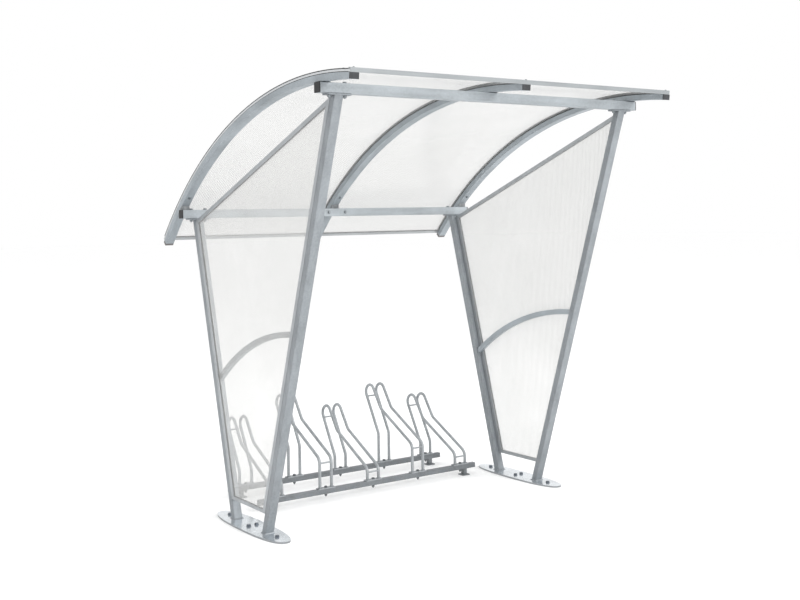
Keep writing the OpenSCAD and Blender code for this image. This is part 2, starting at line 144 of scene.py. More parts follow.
def linear(hex_colour):
    """sRGB hex to linear RGBA."""
    parts = [int(hex_colour[i:i + 2], 16) / 255 for i in (1, 3, 5)]
    return [c / 12.92 if c <= 0.04045 else ((c + 0.055) / 1.055) ** 2.4 for c in parts] + [1.0]


def shaded(hex_colour, factor):
    """A linear colour made lighter or darker by a factor."""
    colour = linear(hex_colour)
    return [min(1.0, c * factor) for c in colour[:3]] + [1.0]


# ---------------------------------------------------------------- materials


def add_node(tree, kind, inputs=None, steps=(), **settings):
    """Adds a node, sets its properties, sets or links its inputs, and gives a colour ramp
    its (position, colour) steps."""
    node = tree.nodes.new(kind)
    for name, value in settings.items():
        setattr(node, name, value)
    for name, value in (inputs or {}).items():
        socket = node.inputs[name]
        if isinstance(value, bpy.types.NodeSocket):
            tree.links.new(value, socket)
        else:
            socket.default_value = value
    if steps:
        elements = node.color_ramp.elements
        while len(elements) < len(steps):
            elements.new(0.5)
        for element, (position, colour) in zip(elements, steps):
            element.position = position
            element.color = colour
    return node


def new_material(name):
    """An empty node material, with its tree, its Principled shader and the coordinates that
    its patterns follow."""
    material = bpy.data.materials.new(name)
    material.use_nodes = True
    tree = material.node_tree
    tree.nodes.clear()
    shader = add_node(tree, "ShaderNodeBsdfPrincipled")
    add_node(tree, "ShaderNodeOutputMaterial", {"Surface": shader.outputs[0]})
    coords = add_node(tree, "ShaderNodeTexCoord").outputs["Object"]
    return material, tree, shader, coords


def per_metre(width):
    """Scale of a pattern whose features are so many millimetres wide."""
    return 1 / (width * MM)


def weighted(tree, *parts):
    """The sum of patterns, each times its share."""
    result = 0.0
    for value, share in parts:
        result = add_node(tree, "ShaderNodeMath", {0: value, 1: share, 2: result},
                          operation="MULTIPLY_ADD").outputs[0]
    return result


def facing(tree, axis):
    """The part of a face's direction that lies along an axis."""
    normal = add_node(tree, "ShaderNodeNewGeometry").outputs["Normal"]
    return add_node(tree, "ShaderNodeSeparateXYZ", {"Vector": normal}).outputs[axis]


def facing_either_way(tree, axis):
    """How squarely a face looks up or down an axis, from 0 to 1."""
    return add_node(tree, "ShaderNodeMath", {0: facing(tree, axis)},
                    operation="ABSOLUTE").outputs[0]


def galvanised(name, colour, runs, roughness=0.5, metallic=0.45, edge=None):
    """Hot-dip galvanised steel, dipped in molten zinc. Faint crystals (spangle) lie under
    broad clouds and soft runs, where the zinc drained along the piece, and the dull skin has
    a fine grain. runs are the widths of the runs along X, Y and Z, in millimetres. Upright
    faces, such as a plate's edge, may be darkened by the factor edge: painted shade."""
    material, tree, shader, coords = new_material(name)
    # Spangle of an ordinary zinc bath, 7 mm across
    spangle = add_node(tree, "ShaderNodeTexVoronoi", {
        "Vector": coords, "Scale": per_metre(6.667)}).outputs["Color"]
    crystals = add_node(tree, "ShaderNodeSeparateColor", {"Color": spangle}).outputs[0]
    # Clouds as wide as a hand, where the bath cooled unevenly
    clouds = add_node(tree, "ShaderNodeTexNoise", {
        "Vector": coords, "Scale": per_metre(200), "Detail": 5.0,
        "Roughness": 0.6}).outputs["Fac"]
    stretched = add_node(tree, "ShaderNodeMapping", {
        "Vector": coords, "Scale": [per_metre(width) for width in runs]}).outputs[0]
    drained = add_node(tree, "ShaderNodeTexNoise", {
        "Vector": stretched, "Scale": 1.0, "Detail": 4.0}).outputs["Fac"]
    # The real frosting is about 0.3 mm wide, and is drawn coarser so that it shows
    grain = add_node(tree, "ShaderNodeTexNoise", {
        "Vector": coords, "Scale": per_metre(2.632), "Detail": 2.0}).outputs["Fac"]
    tone = weighted(tree, (crystals, 0.10), (clouds, 0.40), (drained, 0.36), (grain, 0.14))
    low, high = 0.34, 0.66
    base = add_node(tree, "ShaderNodeValToRGB", {"Fac": tone}, steps=[
        (low, shaded(colour, 0.80)), ((low + high) / 2, shaded(colour, 1.0)),
        (high, shaded(colour, 1.18))]).outputs["Color"]
    # Painted shade: upright faces, such as a foot plate's edge, are darkened by the factor edge
    if edge:
        side = add_node(tree, "ShaderNodeMapRange", {
            "Value": facing_either_way(tree, "Z"), "From Min": 0.3, "From Max": 0.7,
            "To Min": 1.0, "To Max": 0.0}).outputs[0]
        base = add_node(tree, "ShaderNodeMix", {
            0: side, 6: base, 7: shaded(colour, edge)}, data_type="RGBA").outputs[2]
    tree.links.new(base, shader.inputs["Base Color"])
    rough = add_node(tree, "ShaderNodeMapRange", {
        "Value": tone, "From Min": low, "From Max": high,
        "To Min": roughness + 0.06, "To Max": roughness - 0.06}).outputs[0]
    tree.links.new(rough, shader.inputs["Roughness"])
    bump = add_node(tree, "ShaderNodeBump", {
        "Height": weighted(tree, (grain, 1.0), (crystals, 0.5)), "Strength": 0.08,
        "Distance": 0.3 * MM}).outputs[0]
    tree.links.new(bump, shader.inputs["Normal"])
    shader.inputs["Metallic"].default_value = metallic
    return material


def extruded_aluminium(name, colour, lines_wide):
    """Mill finish aluminium pressed through a die: fine lines along its length, broad soft
    patches and a satin shine. lines_wide are the widths of the lines along X, Y and Z, in
    millimetres, drawn coarser than the real 0.5 mm so that they show."""
    material, tree, shader, coords = new_material(name)
    stretched = add_node(tree, "ShaderNodeMapping", {
        "Vector": coords, "Scale": [per_metre(width) for width in lines_wide]}).outputs[0]
    lines = add_node(tree, "ShaderNodeTexNoise", {
        "Vector": stretched, "Scale": 1.0, "Detail": 3.0}).outputs["Fac"]
    patches = add_node(tree, "ShaderNodeTexNoise", {
        "Vector": coords, "Scale": per_metre(166.7), "Detail": 3.0}).outputs["Fac"]
    tone = weighted(tree, (lines, 0.5), (patches, 0.5))
    base = add_node(tree, "ShaderNodeValToRGB", {"Fac": tone}, steps=[
        (0.35, shaded(colour, 0.88)), (0.65, shaded(colour, 1.1))]).outputs["Color"]
    tree.links.new(base, shader.inputs["Base Color"])
    rough = add_node(tree, "ShaderNodeMapRange", {
        "Value": tone, "From Min": 0.3, "From Max": 0.7,
        "To Min": 0.5, "To Max": 0.38}).outputs[0]
    tree.links.new(rough, shader.inputs["Roughness"])
    bump = add_node(tree, "ShaderNodeBump", {
        "Height": lines, "Strength": 0.06, "Distance": 0.2 * MM}).outputs[0]
    tree.links.new(bump, shader.inputs["Normal"])
    shader.inputs["Metallic"].default_value = 0.5
    return material


def multiwall_sheet(name, colour, flute, axis, alpha, tape=None):
    """Extruded multiwall polycarbonate: two thin clear skins joined by webs, so that it is
    milky and see-through with a fine line at every web. Aluminium tape may close its cut
    edges, which face along X."""
    material, tree, shader, coords = new_material(name)
    along = add_node(tree, "ShaderNodeSeparateXYZ", {"Vector": coords}).outputs[axis]
    turns = add_node(tree, "ShaderNodeMath", {0: along, 1: 2 * math.pi / flute},
                     operation="MULTIPLY").outputs[0]
    wave = add_node(tree, "ShaderNodeMath", {0: turns}, operation="COSINE").outputs[0]
    web = add_node(tree, "ShaderNodeMapRange", {
        "Value": wave, "From Min": 0.55, "From Max": 1.0, "To Min": 0.0, "To Max": 1.0},
        interpolation_type="SMOOTHSTEP").outputs[0]
    base = add_node(tree, "ShaderNodeValToRGB", {"Fac": web}, steps=[
        (0.0, shaded(colour, 1.0)), (1.0, shaded(colour, 0.86))]).outputs["Color"]
    # The skins are a little thicker here and there, in patches half a metre wide
    haze = add_node(tree, "ShaderNodeTexNoise", {
        "Vector": coords, "Scale": per_metre(454.5), "Detail": 4.0}).outputs["Fac"]
    milky = add_node(tree, "ShaderNodeMapRange", {
        "Value": haze, "From Min": 0.3, "From Max": 0.7,
        "To Min": alpha - 0.03, "To Max": alpha + 0.03}).outputs[0]
    opacity = weighted(tree, (web, 0.17), (milky, 1.0))
    if tape:
        taped = add_node(tree, "ShaderNodeMath", {0: facing_either_way(tree, "X"), 1: 0.7},
                         operation="GREATER_THAN").outputs[0]
        base = add_node(tree, "ShaderNodeMix", {
            0: taped, 6: base, 7: linear(tape)}, data_type="RGBA").outputs[2]
        opacity = weighted(tree, (opacity, 1.0), (taped, 1.0))
    tree.links.new(base, shader.inputs["Base Color"])
    shown = add_node(tree, "ShaderNodeMath", {0: opacity, 1: 1.0}, operation="MINIMUM")
    tree.links.new(shown.outputs[0], shader.inputs["Alpha"])
    bump = add_node(tree, "ShaderNodeBump", {
        "Height": wave, "Strength": 0.25, "Distance": 0.3 * MM}).outputs[0]
    tree.links.new(bump, shader.inputs["Normal"])
    shader.inputs["Roughness"].default_value = 0.22
    shader.inputs["IOR"].default_value = 1.58
    return material


def dull_polymer(name, colour, roughness=0.55, rear_colour=None, under_colour=None):
    """Injection moulded polyethylene, or extruded rubber when rougher: a fine grain from the
    tool, a little paler where it is rubbed. What lies behind the shelter's middle may be of
    another, weathered colour, and undersides may carry a strip of another colour."""
    material, tree, shader, coords = new_material(name)
    # The tool's real grain is about 0.1 mm wide, and is drawn coarser so that it shows
    grain = add_node(tree, "ShaderNodeTexNoise", {
        "Vector": coords, "Scale": per_metre(1.111), "Detail": 2.0}).outputs["Fac"]
    wear = add_node(tree, "ShaderNodeTexNoise", {
        "Vector": coords, "Scale": per_metre(22.22), "Detail": 4.0}).outputs["Fac"]
    base = add_node(tree, "ShaderNodeValToRGB", {"Fac": wear}, steps=[
        (0.35, shaded(colour, 0.85)), (0.7, shaded(colour, 1.5))]).outputs["Color"]
    if rear_colour:
        weathered = add_node(tree, "ShaderNodeValToRGB", {"Fac": wear}, steps=[
            (0.35, shaded(rear_colour, 0.8)),
            (0.7, shaded(rear_colour, 1.25))]).outputs["Color"]
        depth = add_node(tree, "ShaderNodeSeparateXYZ", {"Vector": coords}).outputs["Y"]
        behind = add_node(tree, "ShaderNodeMath", {0: depth, 1: 0.0},
                          operation="GREATER_THAN").outputs[0]
        base = add_node(tree, "ShaderNodeMix", {
            0: behind, 6: base, 7: weathered}, data_type="RGBA").outputs[2]
    if under_colour:
        under = add_node(tree, "ShaderNodeMath", {0: facing(tree, "Z"), 1: -0.2},
                         operation="LESS_THAN").outputs[0]
        base = add_node(tree, "ShaderNodeMix", {
            0: under, 6: base, 7: linear(under_colour)}, data_type="RGBA").outputs[2]
    tree.links.new(base, shader.inputs["Base Color"])
    bump = add_node(tree, "ShaderNodeBump", {
        "Height": grain, "Strength": 0.2, "Distance": 0.15 * MM}).outputs[0]
    tree.links.new(bump, shader.inputs["Normal"])
    shader.inputs["Roughness"].default_value = roughness
    return material


def zinc_plated(name, colour):
    """Electroplated steel of bolts and nuts: smoother than the dipped steel, and cloudy with
    white bloom in patches 8 mm wide."""
    material, tree, shader, coords = new_material(name)
    bloom = add_node(tree, "ShaderNodeTexNoise", {
        "Vector": coords, "Scale": per_metre(7.692), "Detail": 4.0}).outputs["Fac"]
    base = add_node(tree, "ShaderNodeValToRGB", {"Fac": bloom}, steps=[
        (0.35, shaded(colour, 0.6)), (0.7, shaded(colour, 1.0))]).outputs["Color"]
    tree.links.new(base, shader.inputs["Base Color"])
    rough = add_node(tree, "ShaderNodeMapRange", {
        "Value": bloom, "From Min": 0.3, "From Max": 0.7,
        "To Min": 0.3, "To Max": 0.5}).outputs[0]
    tree.links.new(rough, shader.inputs["Roughness"])
    shader.inputs["Metallic"].default_value = 0.85
    return material


def finish(obj, material):
    """Gives an object one material."""
    obj.data.materials.clear()
    obj.data.materials.append(material)
    return obj


# ---------------------------------------------------------------- modelling helpers


def start_piece(primitive, **settings):
    """Deselects everything, adds a primitive and leaves it in edit mode."""
    if bpy.context.object and bpy.context.object.mode != "OBJECT":
        bpy.ops.object.mode_set(mode="OBJECT")
    bpy.ops.object.select_all(action="DESELECT")
    primitive(**settings)
    bpy.ops.object.mode_set(mode="EDIT")
    return bpy.context.object


def select_faces(obj, test):
    """Selects the faces of an object in edit mode whose normal and middle pass a test."""
    bpy.ops.mesh.select_all(action="DESELECT")
    bpy.ops.mesh.select_mode(type="FACE")
    mesh = bmesh.from_edit_mesh(obj.data)
    for face in mesh.faces:
        face.select_set(test(face.normal, face.calc_center_median()))
    mesh.select_flush(True)
    bmesh.update_edit_mesh(obj.data)


def end_piece(obj, name):
    """Leaves edit mode, applies the object's place to its mesh and names it."""
    bpy.ops.object.mode_set(mode="OBJECT")
    bpy.ops.object.transform_apply(location=True, rotation=True, scale=True)
    obj.name = name
    obj.data.name = name
    return obj


def copies_at(pattern, name, places):
    """One object made of copies of a pattern piece, one for each matrix, and the pattern
    removed."""
    parts = []
    for matrix in places:
        part = pattern.copy()
        part.data = pattern.data.copy()
        part.data.transform(matrix)
        if matrix.determinant() < 0:
            part.data.flip_normals()
        bpy.context.collection.objects.link(part)
        parts.append(part)
    bpy.data.objects.remove(pattern)
    bpy.ops.object.select_all(action="DESELECT")
    for part in parts:
        part.select_set(True)
    bpy.context.view_layer.objects.active = parts[0]
    if len(parts) > 1:
        bpy.ops.object.join()
    joined = bpy.context.object
    joined.name = name
    joined.data.name = name
    return joined


def placed(at, up=(0, 0, 1), spin=0.0):
    """Matrix that moves a piece to a point and turns its Z axis to a direction."""
    turn = Vector((0, 0, 1)).rotation_difference(Vector(up).normalized()).to_matrix().to_4x4()
    return Matrix.Translation(Vector(at)) @ turn @ Matrix.Rotation(spin, 4, "Z")


# Sizes of fixings, as shares of the thread's diameter
WASHER_R, WASHER_T = 1.05, 0.16
HEXAGON_R, HEAD_H, NUT_H = 0.94, 0.64, 0.8
CHAMFER = (0.13, 0.07)
# Each step of a round screw head's dome and recess: inset, lift
DOME = ((0.14, 0.16), (0.22, 0.08), (0.24, -0.18))


def start_washer(sides, radius, thickness):
    """Starts a fixing with its washer, which stands on the floor of its own axes."""
    return start_piece(bpy.ops.mesh.primitive_cylinder_add, vertices=sides, radius=radius,
                       depth=thickness, location=(0, 0, thickness / 2))


def stack_prism(obj, sides, radius, low, height, steps):
    """Adds a prism to the piece in edit mode, then insets its top face and lifts it by each
    (inset, lift) step."""
    bpy.ops.mesh.select_all(action="DESELECT")
    bpy.ops.mesh.primitive_cylinder_add(vertices=sides, radius=radius, depth=height,
                                        location=(0, 0, low + height / 2))
    for inset, lift in steps:
        mesh = bmesh.from_edit_mesh(obj.data)
        for face in mesh.faces:
            face.select_set(face.select and face.normal.z > 0.9)
        bmesh.update_edit_mesh(obj.data)
        bpy.ops.mesh.inset(thickness=inset)
        bpy.ops.transform.translate(value=(0, 0, lift))


def chamfer(d):
    """The one step that chamfers a hexagon's corners."""
    inset, lift = CHAMFER
    return [(inset * d, lift * d)]


def hex_bolt(d):
    """Hexagon bolt head on a washer with a rounded edge."""
    obj = start_washer(24, WASHER_R * d, WASHER_T * d)
    select_faces(obj, lambda n, c: n.z > 0.9)
    bpy.ops.mesh.bevel(offset=0.25 * WASHER_T * d, segments=1, affect="EDGES")
    stack_prism(obj, 6, HEXAGON_R * d, WASHER_T * d, HEAD_H * d, chamfer(d))
    return end_piece(obj, "hex_bolt")


def hex_nut(d, tail):
    """Hexagon nut on a washer with the bolt's end through it."""
    obj = start_washer(24, WASHER_R * d, WASHER_T * d)
    stack_prism(obj, 6, HEXAGON_R * d, WASHER_T * d, NUT_H * d, chamfer(d))
    stack_prism(obj, 16, 0.48 * d, WASHER_T * d, NUT_H * d + tail, [(0.1 * d, 0.1 * d)])
    return end_piece(obj, "hex_nut")


def pan_screw(d):
    """Low round screw head with a sealing washer and a recess."""
    obj = start_washer(20, 1.25 * d, 0.2 * d)
    stack_prism(obj, 20, 0.95 * d, 0.2 * d, 0.35 * d,
                [(inset * d, lift * d) for inset, lift in DOME])
    return end_piece(obj, "pan_screw")


def ring_bead(major, minor):
    """Weld bead round a bar, slightly lumpy."""
    obj = start_piece(bpy.ops.mesh.primitive_torus_add, major_radius=major, minor_radius=minor,
                      major_segments=20, minor_segments=8)
    select_faces(obj, lambda n, c: int(math.degrees(math.atan2(c.y, c.x)) // 18) % 2 == 0)
    bpy.ops.transform.shrink_fatten(value=0.15 * minor)
    return end_piece(obj, "ring_bead")


def skirt_bead(low, high, leg, shift):
    """Fillet weld round a tube's end: a band as wide as the tube and one leg more, that
    narrows to the tube's faces; shift is how far the tube leans over one leg's height."""
    middle = (low + high) / 2
    size = high - low
    obj = start_piece(bpy.ops.mesh.primitive_cube_add, size=1,
                      location=(middle.x, middle.y, middle.z + leg / 2),
                      scale=(size.x + 2 * leg, size.y + 2 * leg, leg))
    select_faces(obj, lambda n, c: n.z > 0.9)
    bpy.ops.transform.resize(value=((size.x + 0.2 * leg) / (size.x + 2 * leg),
                                    (size.y + 0.2 * leg) / (size.y + 2 * leg), 1))
    bpy.ops.transform.translate(value=(0, shift, 0))
    bpy.ops.mesh.select_all(action="SELECT")
    bpy.ops.mesh.subdivide(number_cuts=5)
    select_faces(obj, lambda n, c: (0.1 < abs(n.z) < 0.95
                                    and int((c.x + c.y) / (0.7 * leg)) % 2 == 0))
    bpy.ops.transform.shrink_fatten(value=0.07 * leg)
    return end_piece(obj, "skirt_bead")


# ---------------------------------------------------------------- places from the frame


def end_section(node, top):
    """Lowest and highest corner of the flat end face of a bar that stands up."""
    low, high, _ = box_of(node)
    z = high.z if top else low.z
    corners = [v.co for v in NODES[node].data.vertices if abs(v.co.z - z) < 0.05 * MM]
    return (Vector((min(c.x for c in corners), min(c.y for c in corners), z)),
            Vector((max(c.x for c in corners), max(c.y for c in corners), z)))


def lean_of(node):
    """How far a post leans along Y for each metre of height."""
    foot_low, foot_high = end_section(node, False)
    head_low, head_high = end_section(node, True)
    return (head_low.y + head_high.y - foot_low.y - foot_high.y) / 2 / (head_low.z - foot_low.z)


def roof_circle():
    """Middle and radius, in Y and Z, of the cover bars' upper side, from three points."""
    points = sorted((v.co.y, v.co.z) for v in NODES["cover_bar_middle"].data.vertices)
    front = max(points[:4], key=lambda p: p[1])
    rear = max(points[-4:], key=lambda p: p[0] + p[1])
    top = max(points, key=lambda p: p[1])
    (ax, ay), (bx, by), (cx, cy) = front, top, rear
    d = 2 * (ax * (by - cy) + bx * (cy - ay) + cx * (ay - by))
    a2, b2, c2 = ax * ax + ay * ay, bx * bx + by * by, cx * cx + cy * cy
    middle = Vector(((a2 * (by - cy) + b2 * (cy - ay) + c2 * (ay - by)) / d,
                     (a2 * (cx - bx) + b2 * (ax - cx) + c2 * (bx - ax)) / d))
    return middle, math.dist(middle, rear)


# ---------------------------------------------------------------- pieces

# Widths of the zinc's runs on weld beads along X, Y and Z, in millimetres
WELD_RUNS = (16.67, 16.67, 16.67)
ARCH_SIDES = ("left", "middle", "right")
RAILS = ("rack_front_rail", "rack_rear_rail")
HOLDERS = range(1, 6)


def ride(obj, material):
    """Finishes a new piece and fixes it to the shelter."""
    finish(obj, material)
    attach(obj, "root")
    return obj


class SHELTER_OT_frame_finishes(bpy.types.Operator):
    """Gives every CAD node its finish"""

    bl_idname = "shelter.frame_finishes"
    bl_label = "Frame finishes"

    def execute(self, context):
        colours = context.scene.shelter_colours
        flute = context.scene.shelter_sizes.flute
        # Widths of the zinc's runs and of the die's lines along X, Y and Z, in millimetres
        # The posts and cap plates take the darker copy of the beams' zinc: painted shade
        post = galvanised("hot_dip_galvanised_post", colours.shaded_post_zinc, (29.4, 29.4, 333.3))
        beam = galvanised("hot_dip_galvanised_beam", colours.zinc, (333.3, 29.4, 29.4))
        # The arches and curved rails take the darker copy of the zinc: painted shade
        arch = galvanised("hot_dip_galvanised_arch", colours.shaded_arch_zinc, (29.4, 250, 111.1))
        # The foot plates' upright edges get painted shade, at 0.42 of their colour
        plate = galvanised("hot_dip_galvanised_plate", colours.zinc_plate,
                           (111.1, 200, 111.1), roughness=0.2, metallic=0.85, edge=0.42)
        rack = galvanised("hot_dip_galvanised_rack", colours.zinc_rack,
                          (166.7, 33.33, 83.33))
        # The wheel holders take the lighter copy of the rack's zinc: painted light
        hoop = galvanised("hot_dip_galvanised_hoop", colours.lit_hoop_zinc,
                          (33.33, 33.33, 166.7))
        # Front and rear trims are one aluminium in a painted darker and a painted lighter shade
        roof_trim = extruded_aluminium("extruded_aluminium_roof_trim", colours.shaded_front_profile,
                                       (333.3, 3.846, 3.846))
        rear_trim = extruded_aluminium("extruded_aluminium_rear_trim", colours.lit_rear_profile,
                                       (333.3, 3.846, 3.846))
        wall_trim = extruded_aluminium("extruded_aluminium_wall_trim", colours.wall_profile,
                                       (3.846, 25, 25))
        roof = multiwall_sheet("multiwall_polycarbonate_roof", colours.sheet, flute, "X", 0.26,
                               tape=colours.tape)
        wall = multiwall_sheet("multiwall_polycarbonate_wall", colours.sheet, flute, "Y", 0.27)
        plug = dull_polymer("moulded_polyethylene_beam_plug", colours.beam_plug)
        arch_plug = dull_polymer("moulded_polyethylene_arch_plug", colours.plug,
                                 rear_colour=colours.rear_plug)
        rubber = dull_polymer("extruded_epdm_rubber", colours.rubber, roughness=0.75)
        pad = dull_polymer("moulded_rubber_pad", colours.rubber, roughness=0.75,
                           rear_colour=colours.rear_pad)
        cover = dull_polymer("extruded_epdm_cover", colours.rubber, roughness=0.75,
                             under_colour=colours.foam)
        by_start = (
            ("foot_plate", plate), ("rack", rack), ("wheel_holder", hoop), ("roof_sheet", roof),
            ("side_panel", wall), ("panel_", wall_trim), ("cover_bar", cover),
            ("front_edge_trim", roof_trim), ("rear_edge_trim", rear_trim),
            ("beam_plugs", plug), ("arch_plugs", arch_plug), ("arch_pads", pad),
            ("roof_gaskets", rubber), ("roof_arch", arch), ("curved_rail", arch),
            ("front_beam", beam), ("rear_beam", beam), ("", post))
        for name, obj in NODES.items():
            finish(obj, next(m for start, m in by_start if name.startswith(start)))
        return {"FINISHED"}


class SHELTER_OT_frame_bolts(bpy.types.Operator):
    """Bolts and nuts through the beams and cap plates, and two bolt heads on the rear beam's front
    face
    """

    bl_idname = "shelter.frame_bolts"
    bl_label = "Frame bolts"

    # Bolts from a cap plate's middle and from the rear beam's middle, in bolt diameters
    CAP_STEP = 4.4
    BEAM_STEP = 6

    def execute(self, context):
        d = context.scene.shelter_sizes.bolt_d
        heads, nuts = [], []
        for end in ("front", "rear"):
            _, beam_high, beam_mid = box_of(end + "_beam")
            for side in SIDES:
                cap_low, _, cap_mid = box_of(f"cap_plate_{end}_{side}")
                for way in (-1, 1):
                    x = cap_mid.x + way * self.CAP_STEP * d
                    heads.append(placed((x, beam_mid.y, beam_high.z), spin=x))
                    nuts.append(placed((x, beam_mid.y, cap_low.z), up=(0, 0, -1), spin=2 * x))
        beam_low, _, beam_mid = box_of("rear_beam")
        for way in (-1, 1):
            heads.append(placed((way * self.BEAM_STEP * d, beam_low.y, beam_mid.z),
                                up=(0, -1, 0)))
        steel = zinc_plated("zinc_plated_bolt", context.scene.shelter_colours.zinc)
        ride(copies_at(hex_bolt(d), "frame_bolt_heads", heads), steel)
        ride(copies_at(hex_nut(d, 0.4 * d), "frame_nuts", nuts), steel)
        return {"FINISHED"}


class SHELTER_OT_anchor_bolts(bpy.types.Operator):
    """Anchor bolts in the foot plates' holes"""

    bl_idname = "shelter.anchor_bolts"
    bl_label = "Anchor bolts"

    def execute(self, context):
        d = context.scene.shelter_sizes.anchor_d
        places = []
        for mount in frame["record"]["mounts"]:
            if mount["kind"] != "bolt_pattern":
                continue
            middle = Vector(mount["pos_m"])
            sizes = mount["dims"]
            step = Vector((sizes.get("spacing_x_mm", 0), sizes.get("spacing_y_mm", 0), 0)) * MM / 2
            plate_top = box_of("foot_plate_" + mount["name"].split("_")[0])[1].z
            for sign in (-1, 1):
                at = middle + sign * step
                places.append(placed((at.x, at.y, plate_top), spin=9 * (at.x + at.y)))
        steel = zinc_plated("zinc_plated_anchor_bolt", context.scene.shelter_colours.anchor)
        ride(copies_at(hex_bolt(d), "anchor_bolts", places), steel)
        return {"FINISHED"}


class SHELTER_OT_arch_bolts(bpy.types.Operator):
    """Small nuts under each arch, beside the beams"""

    bl_idname = "shelter.arch_bolts"
    bl_label = "Arch bolts"

    # Size beside the frame's bolts, and how far from the beams, in their own diameters
    SIZE = 0.8
    FRONT_STEP = 3.2
    REAR_STEP = 4

    def execute(self, context):
        d = self.SIZE * context.scene.shelter_sizes.bolt_d
        middle, _ = roof_circle()
        under = arch_underside()
        places = []
        for side in ARCH_SIDES:
            x = box_of("roof_arch_" + side)[2].x
            for y in (box_of("front_beam")[1].y + self.FRONT_STEP * d,
                      box_of("rear_beam")[0].y - self.REAR_STEP * d):
                angle = math.asin((y - middle[0]) / under)
                point = (x, y, middle[1] + under * math.cos(angle))
                places.append(placed(point, up=(0, -math.sin(angle), -math.cos(angle))))
        steel = zinc_plated("zinc_plated_nut", context.scene.shelter_colours.zinc)
        ride(copies_at(hex_nut(d, 0.3 * d), "arch_nuts", places), steel)
        return {"FINISHED"}


def arch_underside():
    """Radius of the arches' underside, measured on the middle arch's mesh."""
    middle, _ = roof_circle()
    return min(math.hypot(v.co.y - middle[0], v.co.z - middle[1])
               for v in NODES["roof_arch_middle"].data.vertices)


class SHELTER_OT_roof_screws(bpy.types.Operator):
    """Screws with sealing washers in the front edge trim and along the cover bars"""

    bl_idname = "shelter.roof_screws"
    bl_label = "Roof screws"

    COVER_SCREWS = 7
    # Angle from a cover bar's end to its first screw, in radians
    MARGIN = 0.03
    # How deep the trim's screws sit below its highest edge
    TRIM_SINK = 0.9 * MM

    def execute(self, context):
        d = context.scene.shelter_sizes.screw_d
        middle, radius = roof_circle()
        cover_low, cover_high, _ = box_of("cover_bar_middle")
        first = math.asin((cover_low.y - middle[0]) / radius)
        last = math.asin((cover_high.y - middle[0]) / radius)
        pitch = (last - first - 2 * self.MARGIN) / (self.COVER_SCREWS - 1)
        angles = [first + self.MARGIN + pitch * i for i in range(self.COVER_SCREWS)]
        places = []
        for side in ARCH_SIDES:
            x = box_of("cover_bar_" + side)[2].x
            for angle in angles:
                out = Vector((0, math.sin(angle), math.cos(angle)))
                point = Vector((x, middle[0], middle[1])) + radius * out
                places.append(placed(point, up=out, spin=7 * angle))
        _, trim_high, trim_mid = box_of("front_edge_trim")
        for side in ARCH_SIDES:
            x = box_of("roof_arch_" + side)[2].x
            places.append(placed((x, trim_mid.y, trim_high.z - self.TRIM_SINK),
                                 up=(0, math.sin(first), math.cos(first))))
        steel = zinc_plated("stainless_screw", context.scene.shelter_colours.zinc)
        ride(copies_at(pan_screw(d), "roof_screws", places), steel)
        return {"FINISHED"}


class SHELTER_OT_rack_bolts(bpy.types.Operator):
    """Bolts through the saddles of the wheel holders and the rack rails"""

    bl_idname = "shelter.rack_bolts"
    bl_label = "Rack bolts"

    def execute(self, context):
        d = context.scene.shelter_sizes.bolt_d
        heads, nuts = [], []
        for rail in RAILS:
            low, high, mid = box_of(rail)
            saddle_top = high.z + saddle_thickness()
            for number in HOLDERS:
                x = box_of(f"wheel_holder_{number}")[2].x
                heads.append(placed((x, mid.y, saddle_top), spin=5 * x))
                nuts.append(placed((x, mid.y, low.z), up=(0, 0, -1), spin=3 * x))
        steel = zinc_plated("zinc_plated_rack_bolt", context.scene.shelter_colours.zinc_rack)
        ride(copies_at(hex_bolt(d), "rack_bolt_heads", heads), steel)
        ride(copies_at(hex_nut(d, 0.6 * d), "rack_nuts", nuts), steel)
        return {"FINISHED"}


def saddle_thickness():
    """Thickness of the holders' saddle plates, from the lowest two levels of a holder."""
    zs = sorted({round(v.co.z, 4) for v in NODES["wheel_holder_1"].data.vertices})
    return zs[1] - zs[0]


class SHELTER_OT_welds(bpy.types.Operator):
    """Weld beads at the feet of the posts and at the feet of the hoops"""

    bl_idname = "shelter.welds"
    bl_label = "Weld beads"

    def execute(self, context):
        leg = context.scene.shelter_sizes.weld
        # The welds round the post feet take the posts' darker zinc: painted shade
        steel = galvanised("galvanised_weld_bead", context.scene.shelter_colours.shaded_post_zinc,
                           WELD_RUNS)
        for side in SIDES:
            for end in ("front", "rear"):
                node = f"{end}_post_{side}"
                low, high = end_section(node, False)
                foot = skirt_bead(low, high, leg, lean_of(node) * leg)
                foot.name = f"foot_weld_{end}_{side}"
                ride(foot, steel)
        self.hoop_welds(context, leg)
        return {"FINISHED"}

    def hoop_welds(self, context, leg):
        """A bead round every hoop foot on its saddle."""
        hoop_r, pitch = hoop_sizes()
        places = []
        for rail in RAILS:
            _, high, mid = box_of(rail)
            saddle_top = high.z + saddle_thickness()
            for number in HOLDERS:
                x = box_of(f"wheel_holder_{number}")[2].x
                for side in (-1, 1):
                    places.append(placed((x + side * pitch / 2, mid.y, saddle_top),
                                         spin=number + side))
        steel = galvanised("galvanised_rack_weld", context.scene.shelter_colours.zinc_rack,
                           WELD_RUNS)
        bead = ring_bead(hoop_r + 0.1 * leg, 0.45 * leg)
        ride(copies_at(bead, "hoop_welds", places), steel)


def hoop_sizes():
    """Radius of a hoop's bar and distance between a holder's two hoops, read from the
    holder's vertices above its saddles."""
    low, high, mid = box_of("wheel_holder_3")
    xs = [abs(v.co.x - mid.x) for v in NODES["wheel_holder_3"].data.vertices
          if v.co.z > low.z + 0.5 * (high.z - low.z)]
    # Bars that tie the hoops cross the holder's middle, and are left out
    hoop_xs = [x for x in xs if x > 10 * MM]
    outer, inner = max(hoop_xs), min(hoop_xs)
    return (outer - inner) / 2, outer + inner


